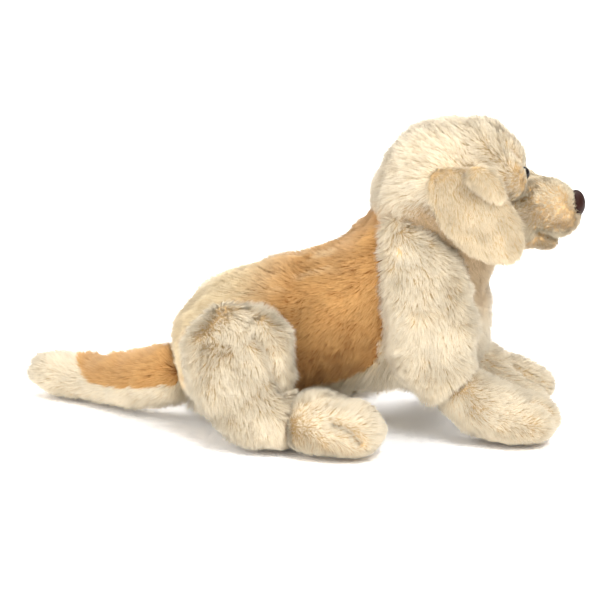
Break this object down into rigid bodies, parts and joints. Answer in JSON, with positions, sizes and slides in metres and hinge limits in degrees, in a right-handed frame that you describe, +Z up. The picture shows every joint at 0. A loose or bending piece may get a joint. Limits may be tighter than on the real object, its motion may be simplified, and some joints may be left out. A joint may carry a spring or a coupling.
{
  "type": "plush dog",
  "caption": "Lying plush dog of long-pile fur panels over fibre filling, with hanging ears, locked-in eyes and nose, and a neck, head, ears, legs and tail that flex.",
  "frame": {"origin": "on the floor, under the middle of the dog's bounding box", "axes": "+X towards the nose, +Y towards the dog's left side, +Z up"},
  "size_m": [0.5068, 0.277, 0.2885],
  "materials": {
    "cream_fur": "long pile fur cloth",
    "honey_fur": "long pile fur cloth",
    "short_fur": "short pile fur cloth",
    "fibre_filling": "loose polyester fibre",
    "brown_plastic": "glossy moulded plastic",
    "washer": "plain moulded plastic"
  },
  "bodies": {
    "torso": {"back_fur_right": "honey_fur", "back_fur_left": "honey_fur", "chest_fur": "cream_fur", "belly_fur": "cream_fur", "torso_filling": "fibre_filling"},
    "neck": {"neck_fur": "cream_fur", "neck_filling": "fibre_filling"},
    "head": {"head_gusset_fur": "cream_fur", "head_fur_right": "cream_fur", "head_fur_left": "cream_fur", "head_filling": "fibre_filling", "eye_right": "brown_plastic", "eye_left": "brown_plastic", "eye_right_washer": "washer", "eye_left_washer": "washer", "muzzle_fur": "short_fur", "muzzle_filling": "fibre_filling", "jaw_fur": "short_fur", "nose": "brown_plastic", "nose_washer": "washer"},
    "ear_right": {"ear_fur_right": "cream_fur", "ear_lining_right": "short_fur"},
    "ear_left": {"ear_fur_left": "cream_fur", "ear_lining_left": "short_fur"},
    "front_leg_right": {"front_leg_right_fur": "cream_fur", "front_leg_right_filling": "fibre_filling", "front_paw_right_fur": "cream_fur", "front_paw_right_filling": "fibre_filling"},
    "hind_leg_right": {"hind_leg_right_fur": "cream_fur", "hind_leg_right_filling": "fibre_filling", "hind_foot_right_fur": "cream_fur", "hind_foot_right_filling": "fibre_filling"},
    "front_leg_left": {"front_leg_left_fur": "cream_fur", "front_leg_left_filling": "fibre_filling", "front_paw_left_fur": "cream_fur", "front_paw_left_filling": "fibre_filling"},
    "hind_leg_left": {"hind_leg_left_fur": "cream_fur", "hind_leg_left_filling": "fibre_filling", "hind_foot_left_fur": "cream_fur", "hind_foot_left_filling": "fibre_filling"},
    "tail_root": {"tail_root_filling": "fibre_filling"},
    "tail": {"tail_top_fur": "honey_fur", "tail_under_fur": "cream_fur", "tail_filling": "fibre_filling"}
  },
  "joints": [
    {"name": "neck_turn", "type": "hinge", "parent": "torso", "child": "neck", "pos_m": [0.1194, 0, 0.196], "axis": [0.5, 0, 0.866], "range_deg": [-30, 30], "stiffness_Nm_per_rad": 4},
    {"name": "head_nod", "type": "hinge", "parent": "neck", "child": "head", "pos_m": [0.1194, 0, 0.196], "axis": [0, 1, 0], "range_deg": [-18, 12], "stiffness_Nm_per_rad": 4},
    {"name": "ear_right_lift", "type": "hinge", "parent": "head", "child": "ear_right", "pos_m": [0.14539, -0.0665, 0.236], "axis": [-1, 0, 0], "range_deg": [0, 80], "stiffness_Nm_per_rad": 0.15},
    {"name": "ear_left_lift", "type": "hinge", "parent": "head", "child": "ear_left", "pos_m": [0.14539, 0.0665, 0.236], "axis": [1, 0, 0], "range_deg": [0, 80], "stiffness_Nm_per_rad": 0.15},
    {"name": "front_leg_right_swing", "type": "hinge", "parent": "torso", "child": "front_leg_right", "pos_m": [0.10959, -0.0406, 0.128], "axis": [0, -1, 0], "range_deg": [0, 35], "stiffness_Nm_per_rad": 2.5},
    {"name": "front_leg_left_swing", "type": "hinge", "parent": "torso", "child": "front_leg_left", "pos_m": [0.10959, 0.0406, 0.128], "axis": [0, -1, 0], "range_deg": [0, 35], "stiffness_Nm_per_rad": 2.5},
    {"name": "hind_leg_right_swing", "type": "hinge", "parent": "torso", "child": "hind_leg_right", "pos_m": [-0.06029, -0.0576, 0.092], "axis": [0, -1, 0], "range_deg": [0, 25], "stiffness_Nm_per_rad": 2.5},
    {"name": "hind_leg_left_swing", "type": "hinge", "parent": "torso", "child": "hind_leg_left", "pos_m": [-0.06029, 0.0576, 0.092], "axis": [0, -1, 0], "range_deg": [0, 25], "stiffness_Nm_per_rad": 2.5},
    {"name": "tail_wag", "type": "hinge", "parent": "torso", "child": "tail_root", "pos_m": [-0.1225, 0, 0.046], "axis": [0, 0, 1], "range_deg": [-20, 50], "stiffness_Nm_per_rad": 1.2},
    {"name": "tail_lift", "type": "hinge", "parent": "tail_root", "child": "tail", "pos_m": [-0.1225, 0, 0.046], "axis": [0, 1, 0], "range_deg": [0, 40], "stiffness_Nm_per_rad": 1.2}
  ]
}
